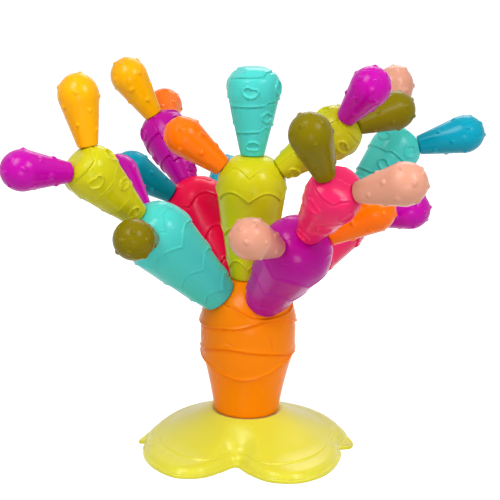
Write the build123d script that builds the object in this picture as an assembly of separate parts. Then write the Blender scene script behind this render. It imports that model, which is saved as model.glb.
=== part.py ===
from build123d import *
import os
from dataclasses import dataclass
from math import acos, atan2, cos, hypot, pi, sin, sqrt

# Magnetic stacking tree: a trunk on a domed base, and bulb-shaped pieces that
# hold on to one another with magnets. Millimetres, +Z up. The origin is on the
# surface that the base stands on, under the trunk's axis. -Y is the front.

# Fits
seat_gap = 0.3          # air between a foot and the seat that it stands on
magnet_clearance = 0.15  # air round a magnet in its pocket
cover_clearance = 0.3   # air round the base's cover
cap_clearance = 0.12    # air round the trunk's foot cap
overrun = 2.0           # how far a cut runs past the face that it opens

# Walls
magnet_skin = 1.2       # plastic between a magnet and the face above it
pocket_rim = 1.4        # plastic round a magnet's pocket
pocket_lip = 1.0        # how far a pocket's rim stands past its magnet
foot_edge_radius = 1.2


@dataclass
class Magnet:
    """A disc magnet. The two that meet at a seat are alike."""
    radius: float
    thickness: float

    def boss_radius(self):
        return self.radius + magnet_clearance + pocket_rim

    def boss_depth(self):
        return magnet_skin + self.thickness + magnet_clearance + pocket_lip


@dataclass
class Bulb:
    """A piece that tapers from a flat foot up to a round bulb."""
    foot_radius: float
    bulb_radius: float
    bulb_height: float   # from the foot to the bulb's widest ring
    top_rise: float      # from the widest ring to the top of the round
    squareness: float    # 2 for an oval top, more for squarer shoulders
    wall: float


leaf_magnet = Magnet(radius=5.0, thickness=3.0)
branch_magnet = Magnet(radius=6.5, thickness=4.0)
limb_magnet = Magnet(radius=10.0, thickness=4.0)
trunk_magnet = Magnet(radius=15.0, thickness=5.0)

leaf = Bulb(
    foot_radius=8.3,
    bulb_radius=16.6,
    bulb_height=41.0,
    top_rise=18.0,
    squareness=2.0,
    wall=2.0,
)
branch = Bulb(
    foot_radius=10.4,
    bulb_radius=22.0,
    bulb_height=53.5,
    top_rise=20.5,
    squareness=3.0,
    wall=2.2,
)
limb = Bulb(
    foot_radius=16.5,
    bulb_radius=29.2,
    bulb_height=76.2,
    top_rise=30.8,
    squareness=2.4,
    wall=2.2,
)

# Flat seats cut on the bulbs. A seat is a little wider than the foot it takes.
leaf_seat_radius = 8.6
branch_seat_radius = 11.0
limb_seat_radius = 17.0
branch_seat_tilt = 38.0  # degrees from the branch's axis to each of its two seats
limb_seat_tilt = 53.0
trunk_seat_tilt = 45.0
trunk_seat_azimuths = (28.0, 124.0, 206.0, 296.0)  # degrees, the first one back right

# Bumps on a leaf, spread over it along a spiral
bump_count = 17
bump_radius = 2.3
bump_height = 1.15
bump_turn = 137.5        # degrees from one bump to the next
lowest_bump_share = 0.2  # of the way up the leaf's side
highest_bump_share = 0.93

# Trunk
trunk_foot_radius = 27.8
trunk_foot_height = 31.8  # above the surface that the base stands on
trunk_belt_height = 87.0  # where the taper ends
trunk_belt_radius = 39.8
trunk_bulb_height = 109.0
trunk_bulb_radius = 41.0
trunk_top_rise = 45.0
trunk_squareness = 2.0
trunk_wall = 2.6
trunk_cap_thickness = 2.6

# Base
base_radius = 100.0
base_wall = 2.6
rim_height = 3.0
rim_width = 1.8           # from the outline in to the foot of the brim
brim_width = 5.8          # from there in to the foot of the dome
rim_edge_radius = 1.2
dome_height = 32.5        # at the edge of the trunk's recess
recess_radius = 29.0
recess_depth = 1.0
cover_thickness = 2.0
weight_radius = 42.0
weight_thickness = 4.0
fence_width = 1.6         # ring on the cover that holds the weight
fence_height = 3.0
fence_clearance = 0.2
screw_circle_radius = 60.0
screw_azimuths = (50.0, 130.0, 220.0, 310.0)
screw_radius = 1.5
screw_length = 11.0
screw_head_radius = 2.9
screw_head_height = 1.2
screw_slot_width = 0.8
screw_slot_depth = 0.6
screw_boss_radius = 4.2
screw_hole_clearance = 0.25

# Outline of the base: (degrees from +X, share of base_radius). A round back, a
# hook on each side, and two lobes in front with a deep notch between them.
base_outline_shares = (
    (2, 0.935), (8, 0.915), (16, 0.92), (32, 0.935), (46, 0.955), (60, 0.965), (75, 0.965),
    (91, 0.965), (106, 0.955), (120, 0.925), (134, 0.89), (148, 0.86), (162, 0.85),
    (174, 0.87), (181, 0.905), (186, 0.935), (187, 0.885), (196, 0.92), (209, 0.97),
    (222, 1.01), (236, 1.02), (247, 0.91), (255, 0.73), (263, 0.60), (272, 0.73),
    (283, 0.91), (296, 1.00), (311, 0.99), (326, 0.93), (341, 0.875), (350, 0.84),
    (353, 0.92), (357, 0.945),
)
hook_azimuths = (2, 181, 186, 353, 357)  # the hooks are on the rim alone
# The brim rolls up from the rim and the dome goes on from it to the recess: (share of
# the rise, share of the way from the recess out to base_radius, brim widths inside the
# rim). A section keeps within both its ring and its inset.
dome_shares = (
    (0.0, 1.585, 0.0), (0.108, 1.366, 0.28), (0.19, 0.971, 0.66), (0.244, 0.766, 1.0),
    (0.488, 0.43, 1.76), (0.753, 0.181, 2.45), (1.0, 0.0, 2.45),
)
dome_blend = 8            # how tightly a ring turns from the one limit to the other

# The pieces: name, kind, what carries it, its seat there, and the turn about its
# own axis in degrees. Seats are counted from "crown", then the side seats.
pieces = (
    ("lime_limb", "limb", "trunk", "crown", 176),
    ("pink_limb", "limb", "trunk", 0, 286),
    ("red_limb", "limb", "trunk", 1, 102),
    ("turquoise_limb", "limb", "trunk", 2, 69),
    ("purple_limb", "limb", "trunk", 3, 277),
    ("top_turquoise_branch", "branch", "lime_limb", "crown", 26),
    ("right_lime_branch", "branch", "lime_limb", 1, 242),
    ("left_lime_branch", "branch", "turquoise_limb", "crown", 306),
    ("purple_branch", "branch", "red_limb", "crown", 29),
    ("pink_branch", "branch", "purple_limb", "crown", 315),
    ("right_turquoise_branch", "branch", "pink_limb", "crown", 206),
    ("lime_limb_orange_leaf", "leaf", "lime_limb", 0, 40),
    ("turquoise_limb_olive_leaf", "leaf", "turquoise_limb", 0, 70),
    ("turquoise_limb_purple_leaf", "leaf", "turquoise_limb", 1, 10),
    ("red_limb_left_teal_leaf", "leaf", "red_limb", 0, 100),
    ("red_limb_back_teal_leaf", "leaf", "red_limb", 1, 0),
    ("purple_limb_peach_leaf", "leaf", "purple_limb", 0, 200),
    ("purple_limb_amber_leaf", "leaf", "purple_limb", 1, 150),
    ("pink_limb_purple_leaf", "leaf", "pink_limb", 0, 80),
    ("left_branch_amber_leaf", "leaf", "left_lime_branch", 1, 300),
    ("left_branch_purple_leaf", "leaf", "left_lime_branch", 0, 20),
    ("purple_branch_amber_leaf", "leaf", "purple_branch", 0, 250),
    ("purple_branch_orange_leaf", "leaf", "purple_branch", 1, 60),
    ("lime_branch_purple_leaf", "leaf", "right_lime_branch", 0, 130),
    ("lime_branch_olive_leaf", "leaf", "right_lime_branch", 1, 270),
    ("pink_branch_olive_leaf", "leaf", "pink_branch", 0, 190),
    ("pink_branch_peach_leaf", "leaf", "pink_branch", 1, 110),
    ("turquoise_branch_peach_leaf", "leaf", "right_turquoise_branch", 0, 30),
    ("turquoise_branch_teal_leaf", "leaf", "right_turquoise_branch", 1, 340),
)

bottom_up = (Align.CENTER, Align.CENTER, Align.MIN)
top_down = (Align.CENTER, Align.CENTER, Align.MAX)
full_turn = 360.0
half_turn = full_turn / 2
round_steps = 8         # steps along the quarter round of a bulb's top


def round_distance(radius, rise, power, tilt, seat_radius):
    """From the bulb's centre to a flat that cuts its round to seat_radius."""
    tilt_angle = tilt * pi / half_turn
    sideways = (sin(tilt_angle) / radius) ** power
    upward = (cos(tilt_angle) / rise) ** power
    reach = (sideways + upward) ** (-1 / power)
    return sqrt(reach ** 2 - seat_radius ** 2)


def crown_distance(radius, rise, power, seat_radius):
    """From the bulb's centre up to the flat across its top."""
    return rise * (1 - (seat_radius / radius) ** power) ** (1 / power)


def seat_location(centre_height, distance, tilt, azimuth):
    """A seat's plane: its centre, with Z pointing out along the next piece."""
    turned = Location((0, 0, centre_height)) * Rotation(0, 0, azimuth) * Rotation(0, tilt, 0)
    return turned * Location((0, 0, distance))


def branch_seats():
    shape = (branch.bulb_radius, branch.top_rise, branch.squareness)
    distance = round_distance(*shape, branch_seat_tilt, leaf_seat_radius)
    return {
        0: seat_location(branch.bulb_height, distance, branch_seat_tilt, 0),
        1: seat_location(branch.bulb_height, distance, branch_seat_tilt, half_turn),
    }


def limb_seats():
    shape = (limb.bulb_radius, limb.top_rise, limb.squareness)
    side = round_distance(*shape, limb_seat_tilt, leaf_seat_radius)
    crown = crown_distance(*shape, branch_seat_radius)
    return {
        "crown": seat_location(limb.bulb_height, crown, 0, 0),
        0: seat_location(limb.bulb_height, side, limb_seat_tilt, 0),
        1: seat_location(limb.bulb_height, side, limb_seat_tilt, half_turn),
    }


def trunk_seats():
    shape = (trunk_bulb_radius, trunk_top_rise, trunk_squareness)
    side = round_distance(*shape, trunk_seat_tilt, limb_seat_radius)
    crown = crown_distance(*shape, limb_seat_radius)
    seats = {"crown": seat_location(trunk_bulb_height, crown, 0, 0)}
    for index, azimuth in enumerate(trunk_seat_azimuths):
        seats[index] = seat_location(trunk_bulb_height, side, trunk_seat_tilt, azimuth)
    return seats


def seat_magnet_size(seat):
    """The magnet under a limb's or a branch's seat: a crown takes a branch."""
    return branch_magnet if seat == "crown" else leaf_magnet


def piece_locations():
    """Where the foot of every piece stands, each on its carrier's seat."""
    seats = {"trunk": trunk_seats(), "limb": limb_seats(), "branch": branch_seats()}
    kinds = {"trunk": "trunk"}
    places = {"trunk": Location((0, 0, 0))}
    for name, kind, carrier, seat, turn in pieces:
        seat_place = places[carrier] * seats[kinds[carrier]][seat]
        places[name] = seat_place * Location((0, 0, seat_gap)) * Rotation(0, 0, turn)
        kinds[name] = kind
    return places


def round_top(radius, height, rise, power):
    """A quarter round from the widest ring, at a height, up to the axis."""
    points = [(radius, height)]
    for step in range(1, round_steps):
        angle = pi / 2 * step / round_steps
        outward = cos(angle) ** (2 / power)
        upward = sin(angle) ** (2 / power)
        points.append((radius * outward, height + rise * upward))
    points.append((0, height + rise))
    return Spline(*points, tangents=((0, 1), (-1, 0)))


def revolved(outline):
    """Turn a closed outline, x as radius and y as height, about the Z axis."""
    return revolve(Plane.XZ * make_face(outline), Axis.Z, full_turn)


def bulb_side(shape, inset):
    """A piece's outline from the edge of its foot up to its top, on one side."""
    foot_radius = shape.foot_radius - inset
    bulb_radius = shape.bulb_radius - inset
    top_rise = shape.top_rise - inset
    to_foot = atan2(inset - shape.bulb_height, foot_radius)
    tangent = to_foot + acos(bulb_radius / hypot(foot_radius, shape.bulb_height - inset))

    def ring_point(angle):
        return (bulb_radius * cos(angle), shape.bulb_height + bulb_radius * sin(angle))

    side = Line((foot_radius, inset), ring_point(tangent))
    side += ThreePointArc(ring_point(tangent), ring_point(tangent / 2), ring_point(0))
    side += round_top(bulb_radius, shape.bulb_height, top_rise, shape.squareness)
    return side


def bulb_solid(shape, inset):
    """The piece's solid form, or with an inset the hollow inside its wall."""
    outline = Line((0, inset), (shape.foot_radius - inset, inset))
    outline += bulb_side(shape, inset)
    outline += Line((0, shape.bulb_height + shape.top_rise - inset), (0, inset))
    return revolved(outline)


def flats_cut(solid, seats, depth=0.0):
    """Cut the solid flat at each seat, or at a depth under it."""
    for seat in seats:
        box_size = 2 * trunk_bulb_radius
        cutter = Box(box_size, box_size, box_size, align=bottom_up)
        solid -= seat * Location((0, 0, -depth)) * cutter
    return solid


def with_pocket(shell, outer, place, magnet):
    """Add a magnet's boss behind a face and open its pocket towards the inside."""
    boss = place * Cylinder(magnet.boss_radius(), magnet.boss_depth(), align=top_down)
    shell += boss & outer
    depth = magnet.boss_depth() - magnet_skin + overrun
    pocket = Cylinder(magnet.radius + magnet_clearance, depth, align=top_down)
    return shell - place * Location((0, 0, -magnet_skin)) * pocket


def magnet_solid(place, magnet):
    """The disc in its pocket, just clear of the face in front of it."""
    disc = Cylinder(magnet.radius, magnet.thickness, align=top_down)
    return place * Location((0, 0, -magnet_skin - magnet_clearance)) * disc


foot_face = Location((0, 0, 0), (half_turn, 0, 0))  # a foot's plane, pointing down


def halves(shell):
    """The two moulded halves, parted on the plane through the axis and the seats."""
    return [
        split(shell, bisect_by=Plane.XZ, keep=Keep.TOP),
        split(shell, bisect_by=Plane.XZ, keep=Keep.BOTTOM),
    ]


def bulb_shell(shape, seats, foot_magnet, seat_magnets, bumps=None):
    outer = bulb_solid(shape, 0)
    outer = fillet(outer.edges().group_by(Axis.Z)[0], foot_edge_radius)
    outer = flats_cut(outer, seats.values())
    if bumps is not None:
        outer += bumps
    hollow = flats_cut(bulb_solid(shape, shape.wall), seats.values(), shape.wall)
    shell = outer - hollow
    shell = with_pocket(shell, outer, foot_face, foot_magnet)
    for key, place in seats.items():
        shell = with_pocket(shell, outer, place, seat_magnets[key])
    return halves(shell)


def leaf_bumps():
    """Small round bumps on the leaf, in a spiral from its foot to its tip."""
    side = Wire(bulb_side(leaf, 0).edges())
    share_step = (highest_bump_share - lowest_bump_share) / (bump_count - 1)
    spheres = []
    for index in range(bump_count):
        share = lowest_bump_share + share_step * index
        along = side.tangent_at(share)
        centre = side.position_at(share) - Vector(along.Y, -along.X) * (bump_radius - bump_height)
        place = Rotation(0, 0, index * bump_turn) * Location((centre.X, 0, centre.Y))
        spheres.append(place * Sphere(bump_radius))
    bumps = spheres[0]
    for sphere in spheres[1:]:
        bumps += sphere
    return bumps


def outline_points(inset, ring_radius=None):
    """Points of the base's outline, inset, and kept within a ring if one is given."""
    points = []
    for azimuth, share in base_outline_shares:
        if azimuth in hook_azimuths and inset:
            continue
        angle = azimuth * pi / half_turn
        radius = base_radius * share
        points.append(Vector(radius * cos(angle), radius * sin(angle)))
    moved = []
    for index, point in enumerate(points):
        along = (points[(index + 1) % len(points)] - points[index - 1]).normalized()
        moved.append(point + Vector(-along.Y, along.X) * inset)
    if ring_radius is None:
        return moved
    return [within_ring(point, ring_radius) for point in moved]


def within_ring(point, ring_radius):
    """Draw a point in so that it keeps softly within a ring."""
    excess = (point.length / ring_radius) ** dome_blend
    return point * (1 + excess) ** (-1 / dome_blend)


def base_outline(inset):
    return make_face(Spline(*outline_points(inset), periodic=True))


def dome_solid(inset, drop):
    """The brim and dome above the rim, or with an inset and a drop the hollow."""
    inner_radius = recess_radius + base_wall
    sections = []
    for rise, reach, brims in dome_shares:
        height = rim_height + (dome_height - rim_height) * rise - drop
        ring_radius = inner_radius + (base_radius - inner_radius) * reach - inset
        points = outline_points(rim_width + brim_width * brims + inset, ring_radius)
        outline = make_face(Spline(*points, periodic=True))
        sections.append(Location((0, 0, height)) * outline)
    return loft(sections)


def on_screw_circle(solid):
    """A copy of the solid at each of the base's screws."""
    places = [Rotation(0, 0, azimuth) * Location((screw_circle_radius, 0, 0)) for azimuth in screw_azimuths]
    return [place * solid for place in places]


def base_shell():
    """The dome with the trunk's recess, a magnet pocket and four screw bosses."""
    outer = extrude(base_outline(0), rim_height)
    outer = fillet(outer.edges().group_by(Axis.Z)[-1], rim_edge_radius)
    outer += dome_solid(0, 0)
    hollow = extrude(base_outline(rim_width + base_wall), cover_thickness)
    hollow += dome_solid(base_wall, base_wall)
    floor_height = trunk_foot_height - seat_gap
    recess = Location((0, 0, floor_height)) * Cylinder(recess_radius, dome_height, align=bottom_up)
    outer -= recess
    under_floor = Location((0, 0, floor_height - base_wall))
    hollow -= under_floor * Cylinder(recess_radius + base_wall, dome_height, align=bottom_up)
    shell = outer - hollow
    boss = Location((0, 0, cover_thickness)) * Cylinder(screw_boss_radius, dome_height, align=bottom_up)
    for place_boss in on_screw_circle(boss):
        shell += place_boss & outer
    hole_depth = screw_length + screw_hole_clearance
    for hole in on_screw_circle(Cylinder(screw_radius, hole_depth, align=bottom_up)):
        shell -= hole
    return with_pocket(shell, outer, Location((0, 0, floor_height)), trunk_magnet)


def base_cover():
    """The flat cover under the base, with a fence for the weight."""
    cover = extrude(base_outline(rim_width + base_wall + cover_clearance), cover_thickness)
    inner_radius = weight_radius + fence_clearance
    fence = Cylinder(inner_radius + fence_width, cover_thickness + fence_height, align=bottom_up)
    fence -= Cylinder(inner_radius, cover_thickness + fence_height, align=bottom_up)
    cover += fence
    hole = Cylinder(screw_radius + screw_hole_clearance, cover_thickness, align=bottom_up)
    head_room = screw_head_radius + screw_hole_clearance
    hole += Cylinder(head_room, screw_head_height, align=bottom_up)
    for place_hole in on_screw_circle(hole):
        cover -= place_hole
    return cover


def base_screws():
    screw = Cylinder(screw_radius, screw_length, align=bottom_up)
    screw += Cylinder(screw_head_radius, screw_head_height, align=bottom_up)
    slot = Box(screw_head_radius, screw_slot_width, screw_slot_depth, align=bottom_up)
    screw -= slot
    return on_screw_circle(screw)


def base_weight():
    return Location((0, 0, cover_thickness)) * Cylinder(weight_radius, weight_thickness, align=bottom_up)


def trunk_solid(inset):
    """The trunk's solid form, or with an inset the hollow inside its wall."""
    belt = (trunk_belt_radius - inset, trunk_belt_height)
    shoulder = (trunk_bulb_radius - inset, trunk_bulb_height)
    foot = (trunk_foot_radius - inset, trunk_foot_height)
    crown = (0, trunk_bulb_height + trunk_top_rise - inset)
    taper = (belt[0] - foot[0], belt[1] - foot[1])
    outline = Line((0, trunk_foot_height), foot)
    outline += Line(foot, belt)
    outline += Spline(belt, shoulder, tangents=(taper, (0, 1)))
    outline += round_top(shoulder[0], trunk_bulb_height, trunk_top_rise - inset, trunk_squareness)
    outline += Line(crown, (0, trunk_foot_height))
    return revolved(outline)


def trunk_shell():
    seats = trunk_seats().values()
    outer = flats_cut(trunk_solid(0), seats)
    shell = outer - flats_cut(trunk_solid(trunk_wall), seats, trunk_wall)
    for place in seats:
        shell = with_pocket(shell, outer, place, limb_magnet)
    return shell


def trunk_foot_cap():
    """The plug in the trunk's open foot, with the pocket of its magnet."""
    radius = trunk_foot_radius - trunk_wall - cap_clearance
    outer = Cylinder(radius, trunk_magnet.boss_depth(), align=bottom_up)
    plate = Cylinder(radius, trunk_cap_thickness, align=bottom_up)
    plate = with_pocket(plate, outer, foot_face, trunk_magnet)
    return Location((0, 0, trunk_foot_height)) * plate


def export_node(name, solids):
    export_step(Compound(children=list(solids)), f"parts/{name}.step")


def write_base():
    export_node("base_shell", [base_shell()])
    export_node("base_cover", [base_cover()])
    export_node("base_screws", base_screws())
    export_node("base_weight", [base_weight()])
    floor_face = Location((0, 0, trunk_foot_height - seat_gap))
    export_node("base_magnet", [magnet_solid(floor_face, trunk_magnet)])


def write_trunk():
    export_node("trunk_shell", [trunk_shell()])
    export_node("trunk_foot_cap", [trunk_foot_cap()])
    trunk_face = Location((0, 0, trunk_foot_height)) * foot_face
    export_node("trunk_foot_magnet", [magnet_solid(trunk_face, trunk_magnet)])
    export_node("trunk_seat_magnets", [magnet_solid(seat, limb_magnet) for seat in trunk_seats().values()])


def write_pieces():
    """Every limb, branch and leaf, as copies of one moulding of each kind."""
    seats = {"limb": limb_seats(), "branch": branch_seats(), "leaf": {}}
    shapes = {"limb": limb, "branch": branch, "leaf": leaf}
    foot_magnets = {"limb": limb_magnet, "branch": branch_magnet, "leaf": leaf_magnet}
    shells = {}
    for kind, kind_seats in seats.items():
        magnets = {seat: seat_magnet_size(seat) for seat in kind_seats}
        bumps = leaf_bumps() if kind == "leaf" else None
        shells[kind] = bulb_shell(shapes[kind], kind_seats, foot_magnets[kind], magnets, bumps)
    places = piece_locations()
    for name, kind, carrier, seat, turn in pieces:
        place = places[name]
        shell = [place * half for half in shells[kind]]
        foot_disc = magnet_solid(place * foot_face, foot_magnets[kind])
        if kind == "leaf":
            export_node(name, shell + [foot_disc])
            continue
        export_node(f"{name}_shell", shell)
        export_node(f"{name}_foot_magnet", [foot_disc])
        discs = [magnet_solid(place * at, seat_magnet_size(key)) for key, at in seats[kind].items()]
        export_node(f"{name}_seat_magnets", discs)


def main():
    os.makedirs("parts", exist_ok=True)
    write_base()
    write_trunk()
    write_pieces()


if __name__ == "__main__":
    main()
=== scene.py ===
import math
from collections import namedtuple

import bpy
import numpy as np
from mathutils import Matrix, Vector


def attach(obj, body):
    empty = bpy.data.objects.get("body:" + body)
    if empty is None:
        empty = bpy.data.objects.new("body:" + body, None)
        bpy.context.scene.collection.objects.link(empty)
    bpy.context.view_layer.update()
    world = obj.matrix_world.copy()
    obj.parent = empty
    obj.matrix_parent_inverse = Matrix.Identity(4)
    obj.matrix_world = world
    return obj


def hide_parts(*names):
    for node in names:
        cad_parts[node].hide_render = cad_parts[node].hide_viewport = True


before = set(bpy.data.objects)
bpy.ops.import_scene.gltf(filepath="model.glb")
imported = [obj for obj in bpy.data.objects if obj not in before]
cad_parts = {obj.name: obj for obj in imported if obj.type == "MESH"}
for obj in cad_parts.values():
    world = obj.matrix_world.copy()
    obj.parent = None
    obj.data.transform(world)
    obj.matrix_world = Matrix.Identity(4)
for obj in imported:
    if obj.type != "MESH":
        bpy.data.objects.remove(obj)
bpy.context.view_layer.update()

# Sizes are in millimetres up to the moment a mesh is made.
MM = 0.001

Bulb = namedtuple("Bulb", "foot bulb height rise squareness")
LEAF = Bulb(8.3, 16.6, 41.0, 18.0, 2.0)
BRANCH = Bulb(10.4, 22.0, 53.5, 20.5, 3.0)
LIMB = Bulb(16.5, 29.2, 76.2, 30.8, 2.4)
TRUNK_TOP = Bulb(27.8, 41.0, 109.0, 45.0, 2.0)

SEAT_GAP = 0.3
LEAF_SEAT = 8.6
BRANCH_SEAT = 11.0
LIMB_SEAT = 17.0
BRANCH_SEAT_TILT = 38.0
LIMB_SEAT_TILT = 53.0
TRUNK_SEAT_TILT = 45.0
TRUNK_SEAT_TURNS = (28.0, 124.0, 206.0, 296.0)
TRUNK_FOOT_HEIGHT = 31.8

# Name, kind, carrier, seat on the carrier, turn about its own axis, colour
PIECES = (
    ("lime_limb", "limb", "trunk", "crown", 176, "lime"),
    ("pink_limb", "limb", "trunk", 0, 286, "pink"),
    ("red_limb", "limb", "trunk", 1, 102, "red"),
    ("turquoise_limb", "limb", "trunk", 2, 69, "turquoise"),
    ("purple_limb", "limb", "trunk", 3, 277, "purple"),
    ("top_turquoise_branch", "branch", "lime_limb", "crown", 26, "turquoise"),
    ("right_lime_branch", "branch", "lime_limb", 1, 242, "lime"),
    ("left_lime_branch", "branch", "turquoise_limb", "crown", 306, "lime"),
    ("purple_branch", "branch", "red_limb", "crown", 29, "purple"),
    ("pink_branch", "branch", "purple_limb", "crown", 315, "pink"),
    ("right_turquoise_branch", "branch", "pink_limb", "crown", 206, "turquoise"),
    ("lime_limb_orange_leaf", "leaf", "lime_limb", 0, 40, "orange"),
    ("turquoise_limb_olive_leaf", "leaf", "turquoise_limb", 0, 200, "olive"),
    ("turquoise_limb_purple_leaf", "leaf", "turquoise_limb", 1, 10, "violet"),
    ("red_limb_left_teal_leaf", "leaf", "red_limb", 0, 100, "teal"),
    ("red_limb_back_teal_leaf", "leaf", "red_limb", 1, 0, "teal"),
    ("purple_limb_peach_leaf", "leaf", "purple_limb", 0, 200, "peach"),
    ("purple_limb_amber_leaf", "leaf", "purple_limb", 1, 150, "orange"),
    ("pink_limb_purple_leaf", "leaf", "pink_limb", 0, 80, "violet"),
    ("left_branch_amber_leaf", "leaf", "left_lime_branch", 1, 300, "amber"),
    ("left_branch_purple_leaf", "leaf", "left_lime_branch", 0, 20, "violet"),
    ("purple_branch_amber_leaf", "leaf", "purple_branch", 0, 250, "amber"),
    ("purple_branch_orange_leaf", "leaf", "purple_branch", 1, 60, "orange"),
    ("lime_branch_purple_leaf", "leaf", "right_lime_branch", 0, 130, "violet"),
    ("lime_branch_olive_leaf", "leaf", "right_lime_branch", 1, 270, "olive"),
    ("pink_branch_olive_leaf", "leaf", "pink_branch", 0, 190, "olive"),
    ("pink_branch_peach_leaf", "leaf", "pink_branch", 1, 110, "peach"),
    ("turquoise_branch_peach_leaf", "leaf", "right_turquoise_branch", 0, 30, "peach"),
    ("turquoise_branch_teal_leaf", "leaf", "right_turquoise_branch", 1, 340, "teal"),
)


def turn_z(degrees):
    return Matrix.Rotation(math.radians(degrees), 4, "Z")


def turn_y(degrees):
    return Matrix.Rotation(math.radians(degrees), 4, "Y")


def lift(height):
    return Matrix.Translation((0, 0, height))


def side_distance(shape, tilt, seat_radius):
    """From the bulb's centre to the flat of a side seat."""
    tilt_angle = math.radians(tilt)
    sideways = (math.sin(tilt_angle) / shape.bulb) ** shape.squareness
    upward = (math.cos(tilt_angle) / shape.rise) ** shape.squareness
    reach = (sideways + upward) ** (-1 / shape.squareness)
    return math.sqrt(reach**2 - seat_radius**2)


def crown_distance(shape, seat_radius):
    share = 1 - (seat_radius / shape.bulb) ** shape.squareness
    return shape.rise * share ** (1 / shape.squareness)


def seat_place(shape, distance, tilt, turn):
    return lift(shape.height) @ turn_z(turn) @ turn_y(tilt) @ lift(distance)


def seats_of(kind):
    """The place of each seat of a kind of piece."""
    if kind == "branch":
        distance = side_distance(BRANCH, BRANCH_SEAT_TILT, LEAF_SEAT)
        return {
            0: seat_place(BRANCH, distance, BRANCH_SEAT_TILT, 0),
            1: seat_place(BRANCH, distance, BRANCH_SEAT_TILT, 180),
        }
    if kind == "limb":
        distance = side_distance(LIMB, LIMB_SEAT_TILT, LEAF_SEAT)
        crown = crown_distance(LIMB, BRANCH_SEAT)
        return {
            "crown": seat_place(LIMB, crown, 0, 0),
            0: seat_place(LIMB, distance, LIMB_SEAT_TILT, 0),
            1: seat_place(LIMB, distance, LIMB_SEAT_TILT, 180),
        }
    if kind == "trunk":
        distance = side_distance(TRUNK_TOP, TRUNK_SEAT_TILT, LIMB_SEAT)
        crown = crown_distance(TRUNK_TOP, LIMB_SEAT)
        seats = {"crown": seat_place(TRUNK_TOP, crown, 0, 0)}
        for index, turn in enumerate(TRUNK_SEAT_TURNS):
            seats[index] = seat_place(TRUNK_TOP, distance, TRUNK_SEAT_TILT, turn)
        return seats
    return {}


def foot_places():
    """Where the foot of every piece stands, each on its carrier's seat."""
    places = {"trunk": Matrix.Identity(4)}
    kinds = {"trunk": "trunk"}
    for name, kind, carrier, seat, turn, _ in PIECES:
        on_seat = seats_of(kinds[carrier])[seat]
        places[name] = places[carrier] @ on_seat @ lift(SEAT_GAP) @ turn_z(turn)
        kinds[name] = kind
    return places


# Curves and steps


def ease(value):
    """0 below 0, 1 above 1 and a soft step between."""
    share = np.clip(value, 0.0, 1.0)
    return share * share * (3 - 2 * share)


def ridge(distance, width):
    return np.exp(-((distance / width) ** 2))


def turn_between(turn, centre):
    """The turn from centre, from -180 up to 180 degrees."""
    return (turn - centre + 180) % 360 - 180


def smooth_through(points, along, wanted):
    """A soft curve through rows of numbers, read at the wanted places along it."""
    slopes = np.gradient(points, along, axis=0)
    index = np.clip(np.searchsorted(along, wanted, side="right") - 1, 0, len(points) - 2)
    length = np.diff(along)[index][:, None]
    share = (wanted - along[index])[:, None] / length
    return (
        (2 * share**3 - 3 * share**2 + 1) * points[index]
        + (share**3 - 2 * share**2 + share) * slopes[index] * length
        + (3 * share**2 - 2 * share**3) * points[index + 1]
        + (share**3 - share**2) * slopes[index + 1] * length
    )


def distances_along(points):
    steps = np.hypot(np.diff(points[:, 0]), np.diff(points[:, 1]))
    return np.concatenate(([0], np.cumsum(steps)))


def smooth_outline(points, count):
    """A soft curve through a few points, as count points."""
    points = np.array(points, dtype=float)
    along = distances_along(points)
    return smooth_through(points, along, np.linspace(0, along[-1], count))


FOOT_EDGE = 1.7
FOOT_EDGE_END = -8  # degrees below level, where the rounding meets the side
FOOT_EDGE_STEPS = 7
SIDE_START = 0.04  # share of the straight side that the rounding takes
SIDE_STEPS = 60
BULGE_STEPS = 40
TOP_STEPS = 120


def foot_edge(foot, height, lean):
    """The rounded edge of a foot, from its flat face up to the side."""
    corner = foot - FOOT_EDGE + lean * FOOT_EDGE
    points = []
    for angle in np.radians(np.linspace(-90, FOOT_EDGE_END, FOOT_EDGE_STEPS)):
        up = height + FOOT_EDGE + FOOT_EDGE * math.sin(angle)
        points.append((corner + FOOT_EDGE * math.cos(angle), up))
    return points


def round_top(bulb, height, rise, squareness):
    """The round above a bulb's widest ring, from the ring to the crown."""
    points = []
    for angle in np.linspace(0, math.pi / 2, TOP_STEPS):
        outward = max(math.cos(angle), 0) ** (2 / squareness)
        upward = math.sin(angle) ** (2 / squareness)
        points.append((bulb * outward, height + rise * upward))
    points[-1] = (0.0, height + rise)
    return points


def bulb_outline(shape):
    """A leaf's, branch's or limb's side from its foot to its top."""
    to_foot = math.atan2(-shape.height, shape.foot)
    tangent = to_foot + math.acos(shape.bulb / math.hypot(shape.foot, shape.height))
    low = (shape.bulb * math.cos(tangent), shape.height + shape.bulb * math.sin(tangent))
    lean = (low[0] - shape.foot) / low[1]
    points = foot_edge(shape.foot, 0.0, lean)
    for share in np.linspace(SIDE_START, 1, SIDE_STEPS):
        points.append((shape.foot + (low[0] - shape.foot) * share, low[1] * share))
    for angle in np.linspace(tangent, 0, BULGE_STEPS)[1:-1]:
        points.append((shape.bulb * math.cos(angle), shape.height + shape.bulb * math.sin(angle)))
    points += round_top(shape.bulb, shape.height, shape.rise, shape.squareness)
    return np.array(points)


class Outline:
    """A side to revolve, read by the distance along it from the foot."""

    def __init__(self, points):
        self.radius = points[:, 0]
        self.height = points[:, 1]
        self.along = distances_along(points)
        self.length = self.along[-1]
        self.radius_slope = np.gradient(self.radius, self.along)
        self.height_slope = np.gradient(self.height, self.along)

    def at_height(self, height):
        return np.interp(height, self.height, self.along)

    def at(self, along):
        radius = np.interp(along, self.along, self.radius)
        height = np.interp(along, self.along, self.height)
        slope = np.interp(along, self.along, self.radius_slope)
        climb = np.interp(along, self.along, self.height_slope)
        size = np.maximum(np.hypot(slope, climb), 1e-6)
        return radius, height, climb / size, -slope / size


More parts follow.
